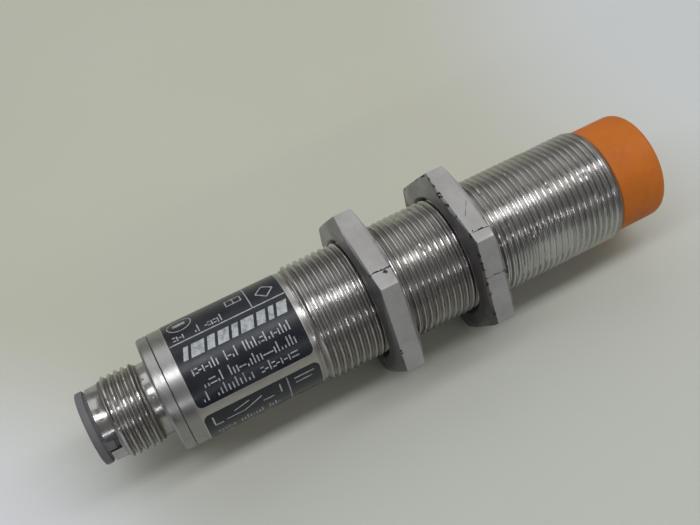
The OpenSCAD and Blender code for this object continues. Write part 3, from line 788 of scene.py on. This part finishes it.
class Print:
    """Collects marks that lie on the label, as one mesh."""

    def __init__(self, r0, r1):
        self.r0, self.r1 = r0, r1
        self.points, self.faces = [], []

    def add(self, rows):
        """Adds a patch of rows, each (turn, x from, x to)."""
        points, faces = wrapped(rows, self.r0, self.r1)
        shift = len(self.points)
        self.points += points
        self.faces += [tuple(i + shift for i in f) for f in faces]

    def bar(self, x0, x1, turn0, turn1):
        """A plain bar with its sides along and across the sensor."""
        count = max(1, int(abs(turn1 - turn0) / 3))
        self.add([(turn0 + (turn1 - turn0) * k / count, x0, x1) for k in range(count + 1)])

    def stroke(self, start, end, width):
        """A straight line between two (x, turn) places, as a run of short bars."""
        per_mm = 180 / (math.pi * self.r1)
        count = max(1, int(abs(end[1] - start[1]) / 2), int(abs(end[0] - start[0]) / 0.6))
        rise = (end[1] - start[1]) / per_mm
        slope = math.hypot(end[0] - start[0], rise)
        nx, ny = -rise / slope * width / 2, (end[0] - start[0]) / slope * width / 2
        rows = []
        for k in range(count + 1):
            x = start[0] + (end[0] - start[0]) * k / count
            turn = start[1] + (end[1] - start[1]) * k / count
            rows.append(((x + nx, turn + ny * per_mm), (x - nx, turn - ny * per_mm)))
        shift = len(self.points)
        for (xa, turn_a), (xb, turn_b) in rows:
            self.points += [on_axis(xa, self.r0, turn_a), on_axis(xb, self.r0, turn_b)]
            self.points += [on_axis(xb, self.r1, turn_b), on_axis(xa, self.r1, turn_a)]
        last = len(rows) * 4 - 4
        faces = grid_faces(len(rows), 4) + [(3, 2, 1, 0), (last, last + 1, last + 2, last + 3)]
        self.faces += [tuple(i + shift for i in f) for f in faces]

    def loop(self, x, turn, half_x, half_turn, width, count=28):
        """An outline round an oval."""
        at = []
        for k in range(count + 1):
            angle = 2 * math.pi * k / count
            at.append((x + half_x * math.cos(angle), turn + half_turn * math.sin(angle)))
        for start, end in zip(at, at[1:]):
            self.stroke(start, end, width)

    def mark(self, x, turn, width, height, cells, line):
        """A few ticks and dashes in a box that starts at x."""
        pad_turn = line / 2 * 180 / (math.pi * self.r1)
        for xa, xb, ha, hb in cells:
            self.bar(x + width * xa - line / 2, x + width * xb + line / 2,
                     turn + height * (ha - 0.5) - pad_turn, turn + height * (hb - 0.5) + pad_turn)

    def slanted(self, x, width, turn0, turn1, slant):
        """A leaning bar."""
        count = 5
        rows = []
        for k in range(count + 1):
            share = k / count
            rows.append((turn0 + (turn1 - turn0) * share, x + slant * share, x + width + slant * share))
        self.add(rows)

    def row(self, x0, x1, turn, height, groups, rng, line=0.18):
        """A row of ticks and dashes between two places, in groups, that stands in for print."""
        pitch = (x1 - x0) / (2 * sum(groups) + 1.6 * (len(groups) - 1))
        x = x0
        for count in groups:
            for _ in range(2 * count):
                self.mark(x, turn, pitch, height, rng.choice(MARKS), line)
                x += pitch
            x += 1.6 * pitch

    def finish(self, name, material):
        """Makes one piece of all the marks."""
        make_piece(name, self.points, self.faces, "sensor", material)


# Widths of the leaning bars in the label's bold row
BOLD_ROW = (0.7, 1.9, 1.1, 1.6, 0.9, 1.9, 1.3, 0.8, 1.5)


def build_label():
    """Silver film round the barrel, black printed panels on it, and plain marks in the print."""
    gap = LABEL_GAP
    film_rows = panel_rows(-90 + gap, 270 - gap, X_LABEL, X_LABEL_END, 0.4, LABEL_R)
    points, faces = wrapped(film_rows, PLAIN_R, LABEL_R - INK_T - PRINT_T)
    make_piece("label_film", points, faces, "sensor", LABEL_SILVER, ("rating_label",))

    ink_r0, ink_r1 = LABEL_R - INK_T - PRINT_T - 0.002, LABEL_R - PRINT_T
    ink = Print(ink_r0, ink_r1)
    x0, x1 = X_LABEL + 0.15, X_LABEL_END - 0.15
    ink.add(panel_rows(34, 158, x0, x1, 0.9, ink_r1))
    ink.add(panel_rows(-48, 24.5, x0, x1, 0.9, ink_r1))
    ink.add(panel_rows(166, 240, x0, x1, 0.9, ink_r1))
    ink.finish("label_ink", LABEL_INK)

    rng = random.Random(12)
    marks = Print(ink_r1 - 0.002, LABEL_R)
    divider = x1 - 4.9
    # main panel: a rule and a divider, an oval, a frame and a diamond above them
    marks.bar(x0 + 0.1, x1 - 0.1, 98.4, 99.6)
    marks.bar(divider - 0.08, divider + 0.08, 99.6, 157)
    marks.loop(x0 + 2.5, 124, 1.75, 10.5, 0.16)
    marks.bar(x0 + 1.6, x0 + 3.4, 121.5, 126.5)
    marks.row(x0 + 0.9, x0 + 2.6, 106.5, 8.0, (2,), rng)
    marks.row(x0 + 4.0, x0 + 8.2, 106.5, 8.0, (1, 3), rng)
    for turn in (116, 125):
        marks.bar(divider - 3.1, divider - 0.7, turn - 0.6, turn + 0.6)
    for x in (divider - 3.0, divider - 1.9, divider - 0.8):
        marks.bar(x - 0.08, x + 0.08, 116, 125)
    marks.loop(divider + 2.5, 113, 1.3, 8.5, 0.2, 4)
    # a bold row, then three rows of small signs
    x = x0 + 1.0
    for width in BOLD_ROW:
        marks.slanted(x, width, 79.6, 92.4, 0.7)
        x += width + 0.45
    marks.row(x0 + 1.2, x1 - 1.5, 68.6, 8.2, (4, 2, 7), rng)
    marks.row(x0 + 1.9, x1 - 1.5, 55.0, 8.4, (3, 10), rng)
    marks.row(x0 + 1.0, x1 - 2.0, 43.0, 8.4, (1, 5, 5), rng)
    # wiring panel: a switch between two rails, with a slanted arrow, and short rows of signs
    marks.stroke((x0 + 1.2, 20), (x0 + 1.2, 8), 0.22)
    marks.stroke((x0 + 1.2, 8), (x0 + 2.4, 8), 0.22)
    marks.stroke((x0 + 2.9, 9), (x0 + 5.6, 9), 0.2)
    marks.stroke((x0 + 5.6, 9), (x0 + 8.4, 17), 0.2)
    marks.stroke((x0 + 4.2, 15), (x0 + 6.6, 19), 0.16)
    marks.stroke((x0 + 8.4, 9), (x0 + 10.0, 9), 0.2)
    marks.stroke((x0 + 11.2, 20), (x0 + 11.2, 9), 0.22)
    marks.bar(divider - 0.08, divider + 0.08, -40, 23)
    marks.stroke((divider + 1.0, 17.5), (x1 - 0.9, 17.5), 0.2)
    marks.stroke((divider + 1.0, 11.5), (x1 - 1.4, 11.5), 0.2)
    for k in range(3):
        marks.row(x0 + 1.2, x0 + 10.6 - k, -5 - 13 * k, 8.0, (3, 4, 2), rng)
    # type panel at the back
    for k in range(5):
        marks.row(x0 + 1.2, x1 - 1.5 - k % 2, 230 - 13 * k, 8.0, (4, 3, 5), rng)
    marks.finish("label_marks", LABEL_PRINT)


# ---------------------------------------------------------------- lock nuts

NUT_BORE_R = BARREL_R + 0.05
NUT_FACE_R = 11.4
NUT_CHAMFER = math.tan(math.radians(15))
NUT_SINK = 0.55
NUT_EDGE_R = 0.28


def hexagon_r(turn, half_flat):
    """Distance from the axis to a hexagon with a flat underneath, with slightly rounded corners."""
    angle = math.radians(turn % 60 - 30)
    sharp = half_flat / math.cos(angle)
    corner = half_flat / math.cos(math.radians(30))
    limit = corner - NUT_EDGE_R * 0.155
    return min(sharp, limit)


def nut_outline(r, half_flat):
    """Half of a nut's outline at one turn, from inside its bore out to near the middle of its rim.

    A point is (depth from the nearer face, radius, share of the knocks). r is the rim's radius.
    """
    drop = (r - NUT_FACE_R) * NUT_CHAMFER
    sink_r = NUT_BORE_R + NUT_SINK
    near_corner = max(0.0, (r - half_flat) / (half_flat * 0.1547)) ** 6
    outline = [
        (2.0, NUT_BORE_R, 0.0),
        (NUT_SINK + 0.05, NUT_BORE_R, 0.2),
        (NUT_SINK - 0.05, NUT_BORE_R + 0.05, 0.5),
        (0.05, sink_r - 0.05, 0.5),
        (0.0, sink_r + 0.04, 0.5),
    ]
    outline += [(0.0, sink_r + (NUT_FACE_R - sink_r) * k / 6, 0.1) for k in range(1, 6)]
    outline += [(0.0, NUT_FACE_R - 0.05, 0.2), (0.02, NUT_FACE_R + 0.05, 0.3)]
    outline += [(drop * share, NUT_FACE_R + (r - NUT_FACE_R) * share, 0.4) for share in (0.33, 0.66)]
    outline += [
        (max(0.03, drop - 0.035), r - 0.13, 0.75),
        (drop + 0.01, r - 0.05, 1.0),
        (drop + 0.07, r, 1.0),
        (drop + 0.22, r, max(0.4, near_corner)),
    ]
    rim = drop + 0.5
    outline += [(rim + (2.0 - rim) * share, r, near_corner) for share in (0.0, 0.35, 0.7)]
    return outline


def build_nut(node, body, plating, seed):
    """Flat hexagon nut: chamfered on both sides, countersunk bore, knocked edges."""
    low, high = box_mm(node)
    count = 240
    points, rows = [], 0
    for i in range(count + 1):
        turn = 360 * i / count
        half = nut_outline(hexagon_r(turn, high.z), high.z)
        outline = [(low.x + depth, r, share) for depth, r, share in half]
        outline += [(high.x - depth, r, share) for depth, r, share in reversed(half[1:])]
        rows = len(outline)
        angle = math.radians(turn)
        for x, r, share in outline:
            at = Vector((x * 0.8 + seed, r * math.cos(angle), r * math.sin(angle)))
            knock = max(0.0, noise.noise(at * 0.9) - 0.33) * 0.5 * share
            points.append(on_axis(x, r - knock if r > NUT_FACE_R else r, turn))
    make_piece(
        node + "_body", points, grid_faces(count + 1, rows), body, plating, (node,), 30)


# ---------------------------------------------------------------- everything else

def dress_inner_nodes():
    """Gives every CAD node that stays its own material."""
    slots = {s["node"]: s["material_slot"] for s in frame["record"]["subparts"]}
    for node, piece in frame["nodes"].items():
        look = INNER_LOOKS.get(slots[node])
        if look:
            piece.data.materials.clear()
            piece.data.materials.append(look)


# Painted pools of light on the table past the sensor's ends: middle, inner and outer radius, colour
TABLE_LIGHT_POOLS = (
    (110, 30, 40, 84, (0.615, 0.635, 0.64)),
    (-88, -15, 24, 60, (0.70, 0.715, 0.745)),
)


def build_stage():
    """Pale table under the nuts' flats, with painted pools of light past the sensor's ends and a painted
    cooler front side, and soft lights.
    """
    floor_z = box_mm("front_lock_nut")[0].z * MM
    bpy.ops.mesh.primitive_plane_add(size=6, location=MIDDLE + Vector((0, 0, floor_z)))
    floor = bpy.context.object
    floor.name = "table"
    look = Look("table_top")
    clouds = look.noise(look.stretched(14, 14, 14), 1.0, 3.0)
    grain = look.noise(look.stretched(900, 900, 900), 1.0, 3.0)
    x, y = look.axis_value("X"), look.axis_value("Y")
    color = look.mix(look.mask(clouds, 0.3, 0.7), (0.535, 0.54, 0.455), (0.515, 0.52, 0.435))
    # Painted cooler light: the table's front side is tinted cooler and less yellow.
    color = look.mix(look.mask(y, 5, -20), color, (0.52, 0.535, 0.485))
    # Painted pools of light past the sensor's ends.
    for at_x, at_y, inner, outer, pale in TABLE_LIGHT_POOLS:
        gap = look.hypotenuse(look.minus(x, at_x), look.minus(y, at_y))
        color = look.mix(look.mask(gap, outer, inner), color, pale)
    look.set("Base Color", color)
    look.set("Roughness", look.mask(grain, 0.3, 0.7, 0.55, 0.65))
    floor.data.materials.append(look.material)

    world = bpy.data.worlds.new("room")
    bpy.context.scene.world = world
    world.use_nodes = True
    shade_room(world.node_tree)

    soft_light("overhead", 87, 0.55, 1.6, 0.10, 3.0, (0.97, 0.985, 1.0))
    soft_light("front_strip", 30, 0.7, 1.6, 0.03, 0.8, (1.0, 1.0, 1.0))
    soft_light("back_window", 132, 0.9, 1.2, 0.6, 1.6, (0.95, 0.98, 1.0))


def shade_room(tree):
    """Walls of the room: darker and cooler towards the connector end, lighter towards the cap."""
    place = tree.nodes.new("ShaderNodeTexCoord").outputs["Generated"]
    slope = tree.nodes.new("ShaderNodeVectorMath")
    slope.operation = "DOT_PRODUCT"
    slope.inputs[1].default_value = (0.72, 0.45, 0.35)
    tree.links.new(place, slope.inputs[0])
    ramp = tree.nodes.new("ShaderNodeValToRGB")
    ramp.color_ramp.interpolation = "EASE"
    ramp.color_ramp.elements[0].position = 0.0
    ramp.color_ramp.elements[0].color = (0.055, 0.054, 0.066, 1)
    ramp.color_ramp.elements[1].position = 0.9
    ramp.color_ramp.elements[1].color = (0.33, 0.325, 0.30, 1)
    shift = tree.nodes.new("ShaderNodeMath")
    shift.operation = "MULTIPLY_ADD"
    shift.inputs[1].default_value = 0.55
    shift.inputs[2].default_value = 0.45
    tree.links.new(slope.outputs["Value"], shift.inputs[0])
    tree.links.new(shift.outputs[0], ramp.inputs["Fac"])
    tree.links.new(ramp.outputs["Color"], tree.nodes["Background"].inputs["Color"])


def soft_light(name, turn, distance, length, width, power, color):
    """A long soft light that lies along the sensor, at an angle round its axis."""
    light = bpy.data.lights.new(name, "AREA")
    light.shape = "RECTANGLE"
    light.size, light.size_y = length, width
    light.energy = power
    light.color = color
    lamp = bpy.data.objects.new(name, light)
    bpy.context.scene.collection.objects.link(lamp)
    lamp.location = MIDDLE + on_axis(0, distance / MM, turn)
    towards = (MIDDLE - lamp.location).normalized()
    x_axis = Vector((1, 0, 0))
    y_axis = (-towards).cross(x_axis)
    lamp.rotation_euler = Matrix((x_axis, y_axis, -towards)).transposed().to_euler()


# Camera: where it stands, what it looks at, how far it is tipped, and its lens
CAMERA_AT = (-75.23, -63.13, 118.16)
CAMERA_AIM = (-46.99, 6.05, 0.0)
CAMERA_ROLL = 6.739
CAMERA_LENS = 47.88


def build_camera():
    """Camera above the connector end, looking along the sensor."""
    data = bpy.data.cameras.new("camera")
    data.sensor_width = 36
    data.lens = CAMERA_LENS
    data.clip_start = 0.01
    camera = bpy.data.objects.new("camera", data)
    bpy.context.scene.collection.objects.link(camera)
    at, aim = Vector(CAMERA_AT) * MM, Vector(CAMERA_AIM) * MM
    level = (aim - at).to_track_quat("-Z", "Y").to_matrix()
    roll = Matrix.Rotation(-math.radians(CAMERA_ROLL), 3, "Z")
    camera.matrix_world = Matrix.Translation(at) @ (level @ roll).to_4x4()
    bpy.context.scene.camera = camera


build_camera()
build_stage()
build_barrel()
build_cap()
build_plug_shell()
build_plug_insert()
build_label()
build_nut("rear_lock_nut", "rear_nut", REAR_PLATING, 3.0)
build_nut("front_lock_nut", "front_nut", FRONT_PLATING, 11.0)
dress_inner_nodes()

bpy.context.scene.view_settings.view_transform = "Standard"
